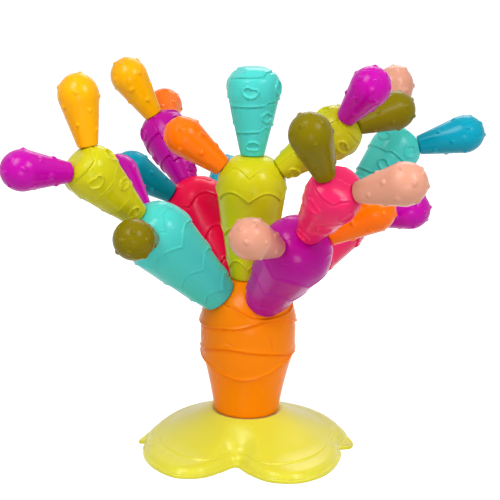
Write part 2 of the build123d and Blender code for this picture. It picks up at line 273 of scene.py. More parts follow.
# Rings are close together where a plate's edge runs and at the foot.
EDGE_RINGS = np.array((-3.0, -2.1, -1.5, -1.0, -0.6, -0.25, 0.1, 0.45, 0.85, 1.3, 1.9, 2.8))
ROOM_BELOW = 3.6  # what the rings below an edge need to keep their full spacing
ROOM_ABOVE = 6.4
LEAST_ROOM = 0.15
FOOT_ZONE = 2.0
FOOT_RINGS = 7


def rings_along(outline, edges, spacing):
    """Ring places, one row for each ring, drawn close round each edge."""
    columns = edges.shape[1]
    foot = np.linspace(0, FOOT_ZONE, FOOT_RINGS)[:, None] * np.ones((1, columns))
    rows = [foot]
    top = np.full(columns, outline.length)
    for index in range(len(edges)):
        edge = edges[index]
        below = rows[-1][-1]
        above = edges[index + 1] if index + 1 < len(edges) else top
        room_below = np.clip((edge - below) / ROOM_BELOW, LEAST_ROOM, 1.0)
        room_above = np.clip((above - edge) / ROOM_ABOVE, LEAST_ROOM, 1.0)
        close = np.where(
            EDGE_RINGS[:, None] < 0,
            EDGE_RINGS[:, None] * room_below,
            EDGE_RINGS[:, None] * room_above,
        )
        first = edge + close[0]
        count = max(2, int(round(float(np.mean(first - below)) / spacing)))
        shares = np.linspace(0, 1, count + 1)[1:-1, None]
        rows.append(below + (first - below) * shares)
        rows.append(edge + close)
    below = rows[-1][-1]
    count = max(4, int(round(float(np.mean(top - below)) / spacing)))
    shares = np.linspace(0, 1, count + 1)[1:-1, None]
    rows.append(below + (top - below) * shares)
    return np.vstack(rows)


# A plate's edge is a step with a groove below it and a lip above it.
STEP_WIDTH = 0.8
GROOVE_PLACE = -1.0
GROOVE_WIDTH = 0.8
LIP_PLACE = 0.9
LIP_WIDTH = 0.9
SINK = 0.3  # how far the skin under the plates is set in
FOOT_FADE = 1.5  # how far above the foot the relief has come in fully


def step_up(past, width):
    """A step of the given width whose middle is where past is 0."""
    return ease((past + width / 2) / width)


def plate_relief(along, edges, depth, groove, lip, length):
    """Overlapping plates: each is proud at its lower edge and thins upward."""
    height = np.zeros_like(along)
    for index in range(len(edges)):
        edge = edges[index]
        above = edges[index + 1] if index + 1 < len(edges) else np.full_like(edge, length)
        past = along - edge
        thinning = 1 - np.clip(past / np.maximum(above - edge, 2.0), 0, 1)
        fade = 1.0
        if index + 1 < len(edges):
            fade = 1 - step_up(along - above, STEP_WIDTH)
        height += depth[index] * step_up(past, STEP_WIDTH) * thinning * fade
        height -= groove[index] * ridge(past - GROOVE_PLACE, GROOVE_WIDTH)
        height += lip[index] * ridge(past - LIP_PLACE, LIP_WIDTH)
    return height - SINK


SEAM_DEPTH = 0.3
SEAM_WIDTH = 0.4
SEAM_COLUMNS = (0.4, 0.85)  # how far the extra columns stand from the seam


def seam_relief(turns, radius):
    """The moulding seam down both sides of a piece."""
    height = np.zeros((1, len(turns)))
    for centre in (0, 180):
        reach = np.radians(np.abs(turn_between(turns, centre)))[None, :] * radius
        height = height - SEAM_DEPTH * ridge(reach, SEAM_WIDTH)
    return height


def columns_round(count, radius):
    """Turns of the mesh's columns, with more of them beside the seam."""
    turns = list(np.arange(count) * 360 / count)
    for centre in (0, 180):
        for reach in SEAM_COLUMNS:
            step = math.degrees(reach / radius)
            turns += [(centre + step) % 360, (centre - step) % 360]
    return np.array(sorted(set(turns)))


def closed_skin(rings, bottom, top):
    """Corners and faces over rings of equal count, with a point at each end."""
    count, columns = rings.shape[:2]
    corners = np.vstack([rings.reshape(-1, 3), [bottom, top]])
    faces = []
    for row in range(count - 1):
        for column in range(columns):
            beside = (column + 1) % columns
            low = row * columns
            high = low + columns
            faces.append((low + column, low + beside, high + beside, high + column))
    last = (count - 1) * columns
    for column in range(columns):
        beside = (column + 1) % columns
        faces.append((count * columns, beside, column))
        faces.append((count * columns + 1, last + column, last + beside))
    return corners, faces


def placed(corners, place):
    matrix = np.array(place)
    return corners @ matrix[:3, :3].T + matrix[:3, 3]


SEAT_EDGE = 0.5


def flatten_at(corners, place):
    """Press the corners beyond a seat's face flat, with a soft edge."""
    matrix = np.array(place)
    normal = matrix[:3, 2]
    beyond = (corners - matrix[:3, 3]) @ normal
    pressed = (beyond + np.sqrt(beyond**2 + SEAT_EDGE**2)) / 2
    corners -= pressed[..., None] * normal


def revolved_skin(outline, turns, along, relief, seats, bottom_height):
    """Corners and faces of a revolved piece with its relief, flat at its seats."""
    radius, height, outward, upward = outline.at(along)
    reach = radius + relief * outward
    height = height + relief * upward
    angles = np.radians(turns)[None, :]
    rings = np.stack([reach * np.cos(angles), reach * np.sin(angles), height], axis=-1)
    top = np.array([[0.0, 0.0, outline.height[-1]]])
    for place in seats.values():
        flatten_at(rings, place)
        flatten_at(top, place)
    return closed_skin(rings, (0, 0, bottom_height), tuple(top[0]))


# Limbs: rows of six scalloped plates

LIMB_COLUMNS = 240
LIMB_ROWS = (17.5, 46.5, 78.0, 98.0)
SCALLOP_DROP = 7.5
LIMB_DEPTHS = (0.75, 0.8, 0.8, 0.3)
LIMB_GROOVES = (0.35, 0.4, 0.4, 0.15)
LIMB_LIPS = (0.5, 0.55, 0.55, 0.15)
RING_SPACING = 1.3


def limb_shape():
    outline = Outline(bulb_outline(LIMB))
    turns = columns_round(LIMB_COLUMNS, LIMB.bulb)
    arch = 1 - np.abs(np.cos(np.radians(3 * turns)))
    edges = np.array([outline.at_height(row - SCALLOP_DROP * arch) for row in LIMB_ROWS])
    along = rings_along(outline, edges, RING_SPACING)
    radius = outline.at(along)[0]
    relief = plate_relief(along, edges, LIMB_DEPTHS, LIMB_GROOVES, LIMB_LIPS, outline.length)
    relief += seam_relief(turns, radius)
    relief *= ease(along / FOOT_FADE)
    return revolved_skin(outline, turns, along, relief, seats_of("limb"), 0.0)


# Branches: wound sheets and raised marks in the form of a bean

BRANCH_COLUMNS = 252
BRANCH_RING_SPACING = 0.75
WRAP_HEIGHTS = (19.4, 41.5, 65.8)
WRAP_RISE = 3.8  # how far a sheet's edge climbs in half a turn
WRAP_FOLD = 2.6  # and how far more where it folds over, a quarter of a turn round
WRAP_FOLD_TURN = 14
BRANCH_DEPTHS = (0.6, 0.6, 0.5)
BRANCH_GROOVES = (0.7, 0.7, 0.6)
BRANCH_LIPS = (0.5, 0.5, 0.4)
# Turn, height, half width, half height, which way the dent faces, dent
BEAN_MARKS = (
    (61, 55.6, 6.6, 4.8, 75, 0.42),
    (135, 58.0, 5.2, 5.8, 130, 0.2),
    (109, 34.5, 5.6, 4.4, 60, 0.42),
    (69, 8.8, 5.6, 4.4, 262, 0.45),
)
BEAN_RIM_HEIGHT = 1.3
BEAN_RIM_WIDTH = 1.0
BEAN_MIDDLE_DEPTH = 0.7
BEAN_WALL_START = 0.3  # inside the rim, where its wall down to the middle starts
BEAN_WALL_WIDTH = 1.4
BEAN_DENT_WIDTH = 34  # degrees


def bean_relief(turns, along, radius, outline):
    """Raised rims in the form of a bean, each with a sunken middle."""
    height = np.zeros_like(along)
    for centre, up, wide, tall, dent_way, dent in BEAN_MARKS:
        for half in (0, 180):
            across = np.radians(turn_between(turns, centre + half))[None, :] * radius
            above = along - outline.at_height(up)
            reach = np.hypot(across, above)
            way = np.degrees(np.arctan2(above / tall, across / wide))
            level = np.cos(np.radians(way)) / wide
            upright = np.sin(np.radians(way)) / tall
            edge = 1 / np.sqrt(level**2 + upright**2)
            edge *= 1 - dent * ridge(turn_between(way, dent_way), BEAN_DENT_WIDTH)
            past = reach - edge
            height += BEAN_RIM_HEIGHT * ridge(past, BEAN_RIM_WIDTH)
            height -= BEAN_MIDDLE_DEPTH * ease((-past - BEAN_WALL_START) / BEAN_WALL_WIDTH)
    return height


def branch_shape():
    outline = Outline(bulb_outline(BRANCH))
    turns = columns_round(BRANCH_COLUMNS, BRANCH.bulb)
    half_turn = turns % 180
    fold = WRAP_FOLD * ease((half_turn - 90) / WRAP_FOLD_TURN)
    climb = WRAP_RISE * half_turn / 180 + fold
    edges = np.array([outline.at_height(row + climb) for row in WRAP_HEIGHTS])
    along = rings_along(outline, edges, BRANCH_RING_SPACING)
    radius = outline.at(along)[0]
    relief = plate_relief(along, edges, BRANCH_DEPTHS, BRANCH_GROOVES, BRANCH_LIPS, outline.length)
    relief += bean_relief(turns, along, radius, outline)
    relief += seam_relief(turns, radius)
    relief *= ease(along / FOOT_FADE)
    return revolved_skin(outline, turns, along, relief, seats_of("branch"), 0.0)


# Leaves: small bumps in a spiral

LEAF_COLUMNS = 150
LEAF_RING_SPACING = 0.8
LEAF_SEAM_SHARE = 0.6
BUMP_COUNT = 17
BUMP_RADIUS = 2.7
BUMP_RADIUS_SPREAD = 0.16
BUMP_HEIGHT = 1.25
BUMP_TURN = 137.5
LOWEST_BUMP_SHARE = 0.2
HIGHEST_BUMP_SHARE = 0.93


def leaf_shape():
    outline = Outline(bulb_outline(LEAF))
    turns = columns_round(LEAF_COLUMNS, LEAF.bulb)
    edges = np.full((1, len(turns)), outline.length * 0.5)
    along = rings_along(outline, edges, LEAF_RING_SPACING)
    radius, height = outline.at(along)[:2]
    angles = np.radians(turns)[None, :]
    skin = np.stack([radius * np.cos(angles), radius * np.sin(angles), height], axis=-1)
    relief = seam_relief(turns, radius) * LEAF_SEAM_SHARE * ease(along / FOOT_FADE)
    share_step = (HIGHEST_BUMP_SHARE - LOWEST_BUMP_SHARE) / (BUMP_COUNT - 1)
    for index in range(BUMP_COUNT):
        share = LOWEST_BUMP_SHARE + share_step * index
        spot_radius, spot_height = outline.at(share * outline.length)[:2]
        turn = math.radians(index * BUMP_TURN)
        spot = np.array((spot_radius * math.cos(turn), spot_radius * math.sin(turn), spot_height))
        size = BUMP_RADIUS * (1 + BUMP_RADIUS_SPREAD * math.sin(index * 2.3))
        away = np.linalg.norm(skin - spot, axis=-1) / size
        relief += BUMP_HEIGHT * np.clip(1 - away**2, 0, None) ** 1.5
    return revolved_skin(outline, turns, along, relief, seats_of("leaf"), 0.0)


# Trunk: a cup with wound bands round its bulb

TRUNK_SIDE = (
    (28.4, 34.0),
    (29.4, 40.0),
    (32.4, 56.0),
    (34.6, 66.0),
    (36.6, 74.0),
    (38.4, 80.0),
    (39.6, 87.0),
    (40.5, 97.0),
    (41.0, 109.0),
)
TRUNK_FOOT_LEAN = 0.18
TRUNK_SIDE_STEPS = 160
TRUNK_COLUMNS = 360
BAND_STEPS = 200
# The bands' edges: turn from the front, height
CUP_BAND = (
    (-90, 84.7), (-71.5, 80.2), (-48, 75.7), (-28, 71.8), (-10, 69.6),
    (5, 70.1), (26, 74.5), (47.5, 80.9), (73, 85.4), (90, 84.7),
)
BELT_BAND = (
    (-90, 89.0), (-66, 91.3), (-26, 96.7), (4, 95.2),
    (35, 92.2), (66, 87.8), (76, 87.6), (90, 89.0),
)
SHOULDER_BAND = (
    (-90, 111.5), (-76, 110.8), (-51, 112.5), (-26, 114.3), (-10, 115.6), (3, 118.5),
    (18, 121.4), (34, 121.9), (55, 120), (74, 115), (90, 111.5),
)
CROWN_BAND = (
    (-90, 129), (-60, 135), (-37, 133.6), (-22, 131.8), (-8, 128.6),
    (10, 124.6), (34, 124.4), (60, 125.5), (90, 129),
)
BAND_DEPTHS = (1.2, 0.9, 0.9)
BAND_GROOVES = (0.8, 0.7, 0.65)
BAND_LIPS = (1.0, 0.9, 0.85)
# At the last edge the skin steps down: the crown is tucked in under its band.
CROWN_STEP = 0.6
CROWN_STEP_WIDTH = 0.6
CROWN_GROOVE = 0.55
CROWN_GROOVE_PLACE = 0.8
CROWN_GROOVE_WIDTH = 0.7
CROWN_LIP = 0.6
CROWN_LIP_PLACE = -1.0
CROWN_LIP_WIDTH = 0.9


def band_edge(points, turns, outline):
    """A band's edge as far as each column, the same on the back as in front."""
    places = np.array(points, dtype=float)
    from_front = turn_between(turns, 270)
    from_front = np.where(np.abs(from_front) > 90, turn_between(from_front, 180), from_front)
    curve = smooth_outline(places, BAND_STEPS)
    return outline.at_height(np.interp(from_front, curve[:, 0], curve[:, 1]))


# Short pinched folds in the bands: turn and height of both ends
FOLDS = (
    ((26.4, 109.1), (32.6, 97.5)),
    ((26.0, 70.0), (24.7, 58.5)),
    ((-30, 102.2), (-15.5, 100.4)),
    ((-36, 85.0), (-24.2, 79.3)),
    ((-57.4, 110.0), (-76.8, 99.3)),
)
FOLD_BAND_RADIUS = 39.0
FOLD_DEPTH = 0.8
FOLD_WIDTH = 0.75
FOLD_SWELL = 0.5  # the raised line beside a fold
FOLD_SWELL_PLACE = 1.6
FOLD_SWELL_WIDTH = 0.9


def fold_relief(turns, heights, radius):
    relief = np.zeros_like(heights)
    for start, end in FOLDS:
        for half in (0, 180):
            middle_turn = (start[0] + end[0]) / 2 + 270 + half
            middle_height = (start[1] + end[1]) / 2
            across = np.radians(turn_between(turns, middle_turn))[None, :] * radius
            above = heights - middle_height
            turned = math.radians(end[0] - start[0]) * FOLD_BAND_RADIUS
            run = np.array([turned, end[1] - start[1]])
            length = float(np.hypot(*run))
            run = run / length
            along = across * run[0] + above * run[1]
            beside = across * run[1] - above * run[0]
            quarter = length / 4
            ends = 1 - ease((np.abs(along) - quarter) / quarter)
            relief -= FOLD_DEPTH * ridge(beside, FOLD_WIDTH) * ends
            relief += FOLD_SWELL * ridge(beside - FOLD_SWELL_PLACE, FOLD_SWELL_WIDTH) * ends
    return relief


def trunk_shape():
    points = foot_edge(TRUNK_TOP.foot, TRUNK_FOOT_HEIGHT, TRUNK_FOOT_LEAN)
    side = smooth_outline(TRUNK_SIDE, TRUNK_SIDE_STEPS)
    top = round_top(TRUNK_TOP.bulb, TRUNK_TOP.height, TRUNK_TOP.rise, TRUNK_TOP.squareness)
    outline = Outline(np.vstack([np.array(points), side, np.array(top[1:])]))
    turns = columns_round(TRUNK_COLUMNS, TRUNK_TOP.bulb)
    bands = (CUP_BAND, BELT_BAND, SHOULDER_BAND, CROWN_BAND)
    edges = np.array([band_edge(band, turns, outline) for band in bands])
    along = rings_along(outline, edges, RING_SPACING)
    radius, heights = outline.at(along)[:2]
    relief = plate_relief(along, edges[:3], BAND_DEPTHS, BAND_GROOVES, BAND_LIPS, outline.length)
    past = along - edges[3]
    relief -= CROWN_STEP * step_up(past, CROWN_STEP_WIDTH)
    relief -= CROWN_GROOVE * ridge(past - CROWN_GROOVE_PLACE, CROWN_GROOVE_WIDTH)
    relief += CROWN_LIP * ridge(past - CROWN_LIP_PLACE, CROWN_LIP_WIDTH)
    relief += fold_relief(turns, heights, radius)
    relief *= ease(along / FOOT_FADE)
    return revolved_skin(outline, turns, along, relief, seats_of("trunk"), TRUNK_FOOT_HEIGHT)


# Base: a low dome on a rolled brim, with two lobes in front and a hook on each side

BASE_RADIUS = 100.0
BASE_WALL = 2.6
RIM_HEIGHT = 3.0
RIM_WIDTH = 1.8
RIM_EDGE = 1.2
BRIM_WIDTH = 5.8
DOME_HEIGHT = 32.5
RECESS_RADIUS = 29.0
RECESS_FLOOR = TRUNK_FOOT_HEIGHT - SEAT_GAP
COVER_TOP = 2.0
COVER_CLEARANCE = 0.2
# Turn and share of the base's radius
BASE_OUTLINE_SHARES = (
    (2, 0.935), (8, 0.915), (16, 0.92), (32, 0.935), (46, 0.955), (60, 0.965), (75, 0.965),
    (91, 0.965), (106, 0.955), (120, 0.925), (134, 0.89), (148, 0.86), (162, 0.85),
    (174, 0.87), (181, 0.905), (186, 0.935), (187, 0.885), (196, 0.92), (209, 0.97),
    (222, 1.01), (236, 1.02), (247, 0.91), (255, 0.73), (263, 0.60), (272, 0.73),
    (283, 0.91), (296, 1.00), (311, 0.99), (326, 0.93), (341, 0.875), (350, 0.84),
    (353, 0.92), (357, 0.945),
)
HOOK_TURNS = (2, 181, 186, 353, 357)
OUTLINE_STEPS = 14  # between two points of the outline
# Share of the rise, share of the way out, brim widths inside the rim
DOME_SECTIONS = np.array((
    (0.0, 1.585, 0.0),
    (0.108, 1.366, 0.28),
    (0.19, 0.971, 0.66),
    (0.244, 0.766, 1.0),
    (0.488, 0.43, 1.76),
    (0.753, 0.181, 2.45),
    (1.0, 0.0, 2.45),
))
DOME_BLEND = 8
HOLLOW_RINGS = 24
MOUTH_CHAMFER = 0.4
# The brim's underside and the start of its top: how far in, height
BRIM_FOOT = ((1.2, 0.0), (0.3, 0.0), (0.08, 0.08), (0.0, 0.3))
BRIM_TOP = (1.4, RIM_HEIGHT - 0.15)
BRIM_EDGE_STEPS = 7
# Where the dome meets the brim it lies over it in a step that fades out upward.
CREASE_SECTION = 3
CREASE_RINGS = np.array((-2.6, -1.8, -1.2, -0.8, -0.45, -0.1, 0.2, 0.5, 0.9, 1.4, 2.0))
RINGS_BELOW_CREASE = 16
RINGS_ABOVE_CREASE = 40
DOME_STEP = 0.7
DOME_STEP_FADE = 14.0
CREASE_GROOVE = 0.25
CREASE_GROOVE_PLACE = -0.9
CREASE_LIP = 0.15
CREASE_LIP_PLACE = 0.8
CREASE_WIDTH = 0.7
# The recess for the trunk's foot: radius, height
RECESS_SIDE = (
    (RECESS_RADIUS + 0.9, DOME_HEIGHT - 0.05),
    (RECESS_RADIUS + 0.4, DOME_HEIGHT - 0.2),
    (RECESS_RADIUS + 0.1, DOME_HEIGHT - 0.45),
    (RECESS_RADIUS, RECESS_FLOOR + 0.3),
    (RECESS_RADIUS - 0.3, RECESS_FLOOR),
    (RECESS_RADIUS * 0.5, RECESS_FLOOR),
)


def closed_curve(points, count):
    """A soft closed curve through the points, count steps between each two."""
    points = np.array(points)
    total = len(points)
    curve = []
    for index in range(total):
        before, start, end, after = (points[(index + offset) % total] for offset in (-1, 0, 1, 2))
        spans = (start - before, end - start, after - end)
        gaps = [math.sqrt(np.hypot(*span)) for span in spans]
        knots = np.concatenate(([0], np.cumsum(gaps)))
        for step in range(count):
            at = knots[1] + gaps[1] * step / count
            first = (before * (knots[1] - at) + start * at) / knots[1]
            second = (start * (knots[2] - at) + end * (at - knots[1])) / gaps[1]
            third = (end * (knots[3] - at) + after * (at - knots[2])) / gaps[2]
            low = (first * (knots[2] - at) + second * at) / knots[2]
            high = (second * (knots[3] - at) + third * (at - knots[1])) / (knots[3] - knots[1])
            curve.append((low * (knots[2] - at) + high * (at - knots[1])) / gaps[1])
    return np.array(curve)


def outline_without(left_out):
    points = []
    for turn, share in BASE_OUTLINE_SHARES:
        if turn not in left_out:
            angle = math.radians(turn)
            reach = BASE_RADIUS * share
            points.append((reach * math.cos(angle), reach * math.sin(angle)))
    return closed_curve(points, OUTLINE_STEPS)


def base_outlines():
    """The outline with its hooks, and the plain one, column for column."""
    hooked = outline_without(())
    plain = outline_without(HOOK_TURNS)
    turns = np.unwrap(np.arctan2(hooked[:, 1], hooked[:, 0]))
    turns = np.maximum.accumulate(turns) + 1e-5 * np.arange(len(turns))
    plain_turns = np.arctan2(plain[:, 1], plain[:, 0])
    radius = np.interp(turns, plain_turns, np.hypot(plain[:, 0], plain[:, 1]), period=2 * math.pi)
    return hooked, np.column_stack([radius * np.cos(turns), radius * np.sin(turns)])


def inset_curve(curve, inset):
    run = np.roll(curve, -1, axis=0) - np.roll(curve, 1, axis=0)
    run /= np.hypot(run[:, 0], run[:, 1])[:, None]
    return curve + np.stack([-run[:, 1], run[:, 0]], axis=1) * inset


def level_ring(curve, height):
    """A ring over a flat curve, all of it at one height."""
    return np.column_stack([curve, np.full(len(curve), height)])


def dome_ring(plain, section, wall, lift_by):
    """One ring of the brim or dome, or of the hollow under it."""
    rise, out, brims = section
    inner = RECESS_RADIUS + BASE_WALL
    limit = inner + (BASE_RADIUS - inner) * out - wall
    moved = inset_curve(plain, RIM_WIDTH + BRIM_WIDTH * brims + wall)
    size = np.hypot(moved[:, 0], moved[:, 1])
    ring = moved * ((1 + (size / limit) ** DOME_BLEND) ** (-1 / DOME_BLEND))[:, None]
    return level_ring(ring, RIM_HEIGHT + (DOME_HEIGHT - RIM_HEIGHT) * rise - wall + lift_by)


def hollow_rings(plain, along):
    """The inside of the dome, from its ceiling down to the mouth."""
    rings = []
    for section in smooth_through(DOME_SECTIONS, along, np.linspace(along[-1], 0, HOLLOW_RINGS)):
        ring = dome_ring(plain, section, BASE_WALL, 0)
        ring[:, 2] = np.clip(ring[:, 2], COVER_TOP + COVER_CLEARANCE, RECESS_FLOOR - BASE_WALL)
        rings.append(ring)
    mouth = rings[-1].copy()
    mouth[:, 2] = MOUTH_CHAMFER
    rings.append(mouth)
    return rings


def brim_rings(plain, hooks):
    """The brim's underside and its rounded edge."""
    rings = [level_ring(inset_curve(plain, RIM_WIDTH + BASE_WALL - MOUTH_CHAMFER), 0.0)]
    profile = list(BRIM_FOOT)
    for angle in np.radians(np.linspace(0, 90, BRIM_EDGE_STEPS)):
        inset = RIM_EDGE * (1 - math.cos(angle))
        profile.append((inset, RIM_HEIGHT - RIM_EDGE * (1 - math.sin(angle))))
    profile.append(BRIM_TOP)
    for inset, height in profile:
        rings.append(level_ring(inset_curve(plain, inset) + hooks, height))
    return rings


def dome_rings(plain, along):
    """The top of the brim and the dome that lies over it."""
    crease = along[CREASE_SECTION]
    near = crease + CREASE_RINGS
    below = np.linspace(0, near[0], RINGS_BELOW_CREASE)[:-1]
    above = np.linspace(near[-1], along[-1], RINGS_ABOVE_CREASE)[1:]
    places = np.concatenate((below, near, above))
    rings = []
    for place, section in zip(places, smooth_through(DOME_SECTIONS, along, places)):
        past = place - crease
        proud = DOME_STEP * step_up(past, STEP_WIDTH) * (1 - ease(past / DOME_STEP_FADE))
        proud -= CREASE_GROOVE * ridge(past - CREASE_GROOVE_PLACE, CREASE_WIDTH)
        proud += CREASE_LIP * ridge(past - CREASE_LIP_PLACE, CREASE_WIDTH)
        rings.append(dome_ring(plain, section, 0, proud))
    return rings


def recess_rings(edge):
    """The recess's side and floor, column for column under the dome's top edge."""
    angles = np.arctan2(edge[:, 1], edge[:, 0])
    around = np.column_stack([np.cos(angles), np.sin(angles)])
    return [level_ring(radius * around, height) for radius, height in RECESS_SIDE]


def base_shape():
    hooked, plain = base_outlines()
    reach = []
    for section in DOME_SECTIONS:
        ring = dome_ring(plain, section, 0, 0)
        reach.append(np.mean(np.hypot(ring[:, 0], ring[:, 1])))
    rises = DOME_SECTIONS[:, 0] * (DOME_HEIGHT - RIM_HEIGHT)
    along = distances_along(np.column_stack([reach, rises]))
    rings = hollow_rings(plain, along)
    rings += brim_rings(plain, hooked - plain)
    rings += dome_rings(plain, along)
    rings += recess_rings(rings[-1])
    return closed_skin(np.array(rings), (0, 0, RECESS_FLOOR - BASE_WALL), (0, 0, RECESS_FLOOR))


# Finishes


def new_group(name, inputs, outputs):
    group = bpy.data.node_groups.new(name, "ShaderNodeTree")
    for socket, kind, value in inputs:
        made = group.interface.new_socket(socket, in_out="INPUT", socket_type=kind)
        made.default_value = value
    for socket, kind in outputs:
        group.interface.new_socket(socket, in_out="OUTPUT", socket_type=kind)
    start = group.nodes.new("NodeGroupInput")
    end = group.nodes.new("NodeGroupOutput")
    return group, start, end


def feed(tree, value, socket):
    """Puts a number on a socket, or a link into it."""
    if isinstance(value, (int, float)):
        socket.default_value = value
    else:
        tree.links.new(value, socket)


def math_node(tree, operation, first, second):
    node = tree.nodes.new("ShaderNodeMath")
    node.operation = operation
    feed(tree, first, node.inputs[0])
    feed(tree, second, node.inputs[1])
    return node.outputs[0]


def range_node(tree, value, low, high, full=1.0):
    """Turns a value from 0 to full into a span from low to high."""
    node = tree.nodes.new("ShaderNodeMapRange")
    node.inputs["From Max"].default_value = full
    feed(tree, value, node.inputs["Value"])
    feed(tree, low, node.inputs["To Min"])
    feed(tree, high, node.inputs["To Max"])
    return node.outputs["Result"]


def noise_node(tree, place, detail):
    """Noise laid out in a piece's own coordinates."""
    noise = tree.nodes.new("ShaderNodeTexNoise")
    noise.inputs["Detail"].default_value = detail
    tree.links.new(place.outputs["Object"], noise.inputs["Vector"])
    return noise


def blend_node(tree, amount, first, second):
    """A colour between two, by an amount from 0 to 1."""
    blend = tree.nodes.new("ShaderNodeMix")
    blend.data_type = "RGBA"
    tree.links.new(amount, blend.inputs["Factor"])
    tree.links.new(first, blend.inputs["A"])
    tree.links.new(second, blend.inputs["B"])
    return blend.outputs["Result"]


CLOUD_SCALE = 28.0
SKIN_SCALE = 900.0
DEEP_COLOUR_SHARE = 0.22
MATT_RISE = 0.006  # metres from where the matt part starts to where it is full


def moulded_plastic_group():
    """Colour, gloss and skin of a moulded plastic, all slightly uneven."""
    group, start, end = new_group(
        "Moulded plastic skin",
        (
            ("Colour", "NodeSocketColor", (0.8, 0.8, 0.8, 1.0)),
            ("Deep Colour", "NodeSocketColor", (0.5, 0.5, 0.5, 1.0)),
            ("Gloss Low", "NodeSocketFloat", 0.24),
            ("Gloss High", "NodeSocketFloat", 0.32),
            ("Matt From", "NodeSocketFloat", 10.0),
            ("Matt Roughness", "NodeSocketFloat", 0.0),
        ),
        (
            ("Colour", "NodeSocketColor"),
            ("Roughness", "NodeSocketFloat"),
            ("Height", "NodeSocketFloat"),
        ),
    )
    given = start.outputs
    place = group.nodes.new("ShaderNodeTexCoord")
    clouds = noise_node(group, place, 3.0)
    clouds.inputs["Scale"].default_value = CLOUD_SCALE
    cloudy = clouds.outputs["Fac"]
    skin = noise_node(group, place, 2.0)
    skin.inputs["Scale"].default_value = SKIN_SCALE
    amount = range_node(group, cloudy, 0.0, DEEP_COLOUR_SHARE)
    colour = blend_node(group, amount, given["Colour"], given["Deep Colour"])
    group.links.new(colour, end.inputs["Colour"])
    gloss = range_node(group, cloudy, given["Gloss Low"], given["Gloss High"])
    parts = group.nodes.new("ShaderNodeSeparateXYZ")
    group.links.new(place.outputs["Object"], parts.inputs["Vector"])
    above = math_node(group, "SUBTRACT", parts.outputs["Z"], given["Matt From"])
    matt = range_node(group, above, 0.0, given["Matt Roughness"], MATT_RISE)
    group.links.new(math_node(group, "ADD", gloss, matt), end.inputs["Roughness"])
    group.links.new(skin.outputs["Fac"], end.inputs["Height"])
    return group


METAL_GLOSS = (0.22, 0.42)


def plated_metal_group():
    """Plated or rolled metal with a fine grain and a mottled gloss."""
    group, start, end = new_group(
        "Plated metal skin",
        (
            ("Colour", "NodeSocketColor", (0.8, 0.8, 0.8, 1.0)),
            ("Worn Colour", "NodeSocketColor", (0.5, 0.5, 0.5, 1.0)),
            ("Grain Scale", "NodeSocketFloat", 400.0),
        ),
        (
            ("Colour", "NodeSocketColor"),
            ("Roughness", "NodeSocketFloat"),
            ("Height", "NodeSocketFloat"),
        ),
    )
    given = start.outputs
    grain = noise_node(group, group.nodes.new("ShaderNodeTexCoord"), 4.0)
    group.links.new(given["Grain Scale"], grain.inputs["Scale"])
    grainy = grain.outputs["Fac"]
    colour = blend_node(group, grainy, given["Colour"], given["Worn Colour"])
    group.links.new(colour, end.inputs["Colour"])
    gloss = range_node(group, grainy, METAL_GLOSS[0], METAL_GLOSS[1])
    group.links.new(gloss, end.inputs["Roughness"])
    group.links.new(grainy, end.inputs["Height"])
    return group


PLASTIC = moulded_plastic_group()
METAL = plated_metal_group()


def linear(colour):
    """A screen colour of 0 to 255 as the shader's numbers."""
    channels = []
    for channel in colour:
        share = channel / 255
        channels.append(share / 12.92 if share <= 0.04045 else ((share + 0.055) / 1.055) ** 2.4)
    return (*channels, 1.0)


SKIN_RELIEF = 0.0001  # metres
PLASTIC_BUMP = 0.12
PLASTIC_IOR = 1.46
SHEEN_ROUGHNESS = 0.35
METAL_BUMP = 0.2
BASE_MATT_FROM = 0.0085  # metres above the table
BASE_MATT_ROUGHNESS = 0.06


def new_material(name, group, bump):
    material = bpy.data.materials.new(name)
    material.use_nodes = True
    nodes = material.node_tree.nodes
    links = material.node_tree.links
    shader = nodes["Principled BSDF"]
    skin = nodes.new("ShaderNodeGroup")
    skin.node_tree = group
    links.new(skin.outputs["Colour"], shader.inputs["Base Color"])
    links.new(skin.outputs["Roughness"], shader.inputs["Roughness"])
    relief = nodes.new("ShaderNodeBump")
    relief.inputs["Strength"].default_value = bump
    relief.inputs["Distance"].default_value = SKIN_RELIEF
    links.new(skin.outputs["Height"], relief.inputs["Height"])
    links.new(relief.outputs["Normal"], shader.inputs["Normal"])
    return material, skin, shader


def plastic(name, colour, deep, gloss=(0.18, 0.25), shine=0.14, sheen=0.0):
    material, skin, shader = new_material(name, PLASTIC, PLASTIC_BUMP)
    skin.inputs["Colour"].default_value = linear(colour)
    skin.inputs["Deep Colour"].default_value = linear(deep)
    skin.inputs["Gloss Low"].default_value = gloss[0]
    skin.inputs["Gloss High"].default_value = gloss[1]
    shader.inputs["IOR"].default_value = PLASTIC_IOR
    shader.inputs["Specular IOR Level"].default_value = shine
    shader.inputs["Sheen Weight"].default_value = sheen
    shader.inputs["Sheen Roughness"].default_value = SHEEN_ROUGHNESS
    return material


def base_plastic():
    """The base's plastic, whose brim is glossier than its dome."""
    colours = (226, 220, 58), (214, 206, 36)
    material = plastic("Pale lime base plastic", *colours, (0.24, 0.3), 0.26, 0.6)
    skin = material.node_tree.nodes["Group"]
    skin.inputs["Matt From"].default_value = BASE_MATT_FROM
    skin.inputs["Matt Roughness"].default_value = BASE_MATT_ROUGHNESS
    return material


def metal(name, colour, worn, grain):
    material, skin, shader = new_material(name, METAL, METAL_BUMP)
    skin.inputs["Colour"].default_value = linear(colour)
    skin.inputs["Worn Colour"].default_value = linear(worn)
    skin.inputs["Grain Scale"].default_value = grain
    shader.inputs["Metallic"].default_value = 1.0
    return material


